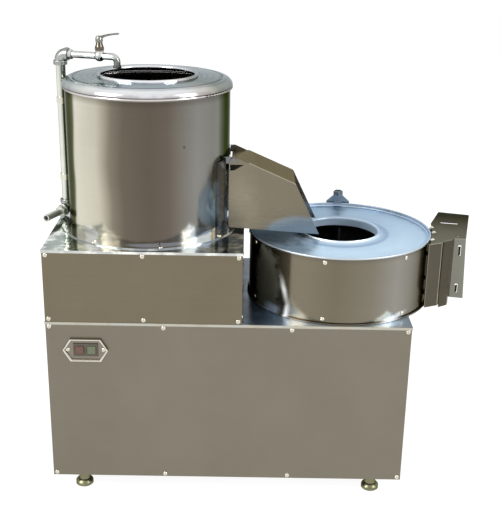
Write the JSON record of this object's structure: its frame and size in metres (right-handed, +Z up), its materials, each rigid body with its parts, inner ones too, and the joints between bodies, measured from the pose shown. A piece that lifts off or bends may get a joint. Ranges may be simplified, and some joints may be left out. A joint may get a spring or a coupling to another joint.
{
  "type": "potato peeling and slicing machine",
  "caption": "Steel cabinet on screwed feet with a round peeling drum, a hooded chute, a centrifugal slicer, a guarded side outlet, a water tap and a two-button switch.",
  "frame": {"origin": "on the floor, under the middle of the whole footprint", "axes": "+X to the right with the slicer, +Y from the front with the switch to the back, +Z up"},
  "size_m": [1.0106, 0.483, 1.0143],
  "materials": {
    "satin_panel": "satin brushed stainless sheet",
    "mirror_sheet": "polished stainless sheet",
    "bright_sheet": "fine satin stainless sheet",
    "lid_sheet": "satin stainless sheet with a faint blue tint",
    "frame_steel": "grey painted angle steel",
    "fasteners": "zinc-plated steel",
    "foot_metal": "dull olive-brown passivated metal",
    "switch_black": "black moulded plastic",
    "button_green": "green gloss plastic",
    "button_red": "red gloss plastic",
    "gland_black": "black nylon",
    "abrasive": "bonded abrasive grit",
    "cast_grey": "grey cast iron",
    "shaft_steel": "ground steel",
    "rotor_alloy": "cast aluminium, fine machined",
    "knife_steel": "ground knife steel",
    "knob_black": "black moulded plastic",
    "motor_paint": "blue-grey enamel",
    "belt_rubber": "black rubber",
    "pipe_steel": "bright steel pipe",
    "fitting_steel": "dull galvanised fitting",
    "tap_chrome": "plated brass",
    "lever_metal": "plated lever"
  },
  "bodies": {
    "machine": {"frame_posts": "frame_steel", "frame_rails": "frame_steel", "base_tray": "satin_panel", "cabinet_front_panel": "satin_panel", "cabinet_back_panel": "satin_panel", "cabinet_side_panels": "satin_panel", "deck_plate": "bright_sheet", "riser_front_panel": "satin_panel", "riser_side_panels": "satin_panel", "riser_top_plate": "bright_sheet", "panel_screws": "fasteners", "levelling_feet": "foot_metal", "switch_plate": "bright_sheet", "switch_body": "switch_black", "cable_gland": "gland_black", "drum_wall": "mirror_sheet", "drum_base_ring": "mirror_sheet", "drum_lid": "mirror_sheet", "abrasive_lining": "abrasive", "gate_guides": "satin_panel", "hood_hinge": "satin_panel", "peeler_bearing_housing": "cast_grey", "shaft_bearings": "shaft_steel", "waste_pan": "bright_sheet", "drain_spout": "bright_sheet", "slicer_base_ring": "satin_panel", "slicer_housing": "satin_panel", "slicer_lid": "lid_sheet", "slicer_bearing_housing": "cast_grey", "knife_holder": "fasteners", "knife_blade": "knife_steel", "outlet_guard": "satin_panel", "outlet_cover": "satin_panel", "machine_bolts": "fasteners", "lid_clamp_post": "bright_sheet", "motor_body": "motor_paint", "motor_plate": "frame_steel", "drive_belts": "belt_rubber", "water_pipe": "pipe_steel", "pipe_elbows": "fitting_steel", "pipe_clips": "pipe_steel", "hose_tail": "pipe_steel", "tap_body": "tap_chrome"},
    "peeler_rotor": {"peeling_disc": "abrasive", "disc_nut": "fasteners", "peeler_shaft": "shaft_steel", "peeler_pulley": "cast_grey"},
    "slicer_rotor_set": {"slicer_rotor": "rotor_alloy", "rotor_nut": "fasteners", "slicer_shaft": "shaft_steel", "slicer_pulley": "cast_grey"},
    "motor_rotor": {"motor_shaft": "shaft_steel", "motor_pulley": "cast_grey"},
    "gate": {"discharge_gate": "mirror_sheet"},
    "hood": {"discharge_hood": "satin_panel"},
    "lever": {"tap_lever": "lever_metal"},
    "start": {"start_button": "button_green"},
    "stop": {"stop_button": "button_red"},
    "thickness": {"thickness_plate": "bright_sheet"},
    "clamp_knob": {"lid_clamp_knob": "knob_black"}
  },
  "joints": [
    {"name": "peeler_spin", "type": "hinge", "parent": "machine", "child": "peeler_rotor", "pos_m": [-0.2653, -0.0185, 0.6], "axis": [0, 0, 1], "continuous": true},
    {"name": "slicer_spin", "type": "hinge", "parent": "machine", "child": "slicer_rotor_set", "pos_m": [0.17621, -0.0185, 0.45], "axis": [0, 0, 1], "continuous": true},
    {"name": "motor_spin", "type": "hinge", "parent": "machine", "child": "motor_rotor", "pos_m": [-0.04455, -0.0185, 0.28], "axis": [0, 0, 1], "continuous": true},
    {"name": "gate_lift", "type": "slide", "parent": "machine", "child": "gate", "axis": [0, 0, 1], "range_m": [0, 0.1]},
    {"name": "hood_swing", "type": "hinge", "parent": "machine", "child": "hood", "pos_m": [-0.07229, -0.0185, 0.753], "axis": [0, -1, 0], "range_deg": [0, 60]},
    {"name": "tap_lever_turn", "type": "hinge", "parent": "machine", "child": "lever", "pos_m": [-0.37157, -0.00728, 1], "axis": [0, 0, 1], "range_deg": [0, 90]},
    {"name": "start_press", "type": "slide", "parent": "machine", "child": "start", "axis": [0, 1, 0], "range_m": [0, 0.003], "stiffness_N_per_m": 500},
    {"name": "stop_press", "type": "slide", "parent": "machine", "child": "stop", "axis": [0, 1, 0], "range_m": [0, 0.003], "stiffness_N_per_m": 500},
    {"name": "thickness_adjust", "type": "slide", "parent": "machine", "child": "thickness", "axis": [0.9799, -0.1994, 0], "range_m": [0, 0.006]},
    {"name": "lid_clamp_turn", "type": "hinge", "parent": "machine", "child": "clamp_knob", "pos_m": [0.18989, 0.19907, 0.6], "axis": [0, 0, 1], "range_deg": [0, 360]}
  ],
  "couplings": [
    {"joint": "motor_spin", "follows": "peeler_spin", "ratio": 3.125},
    {"joint": "slicer_spin", "follows": "peeler_spin", "ratio": 1.3889}
  ]
}
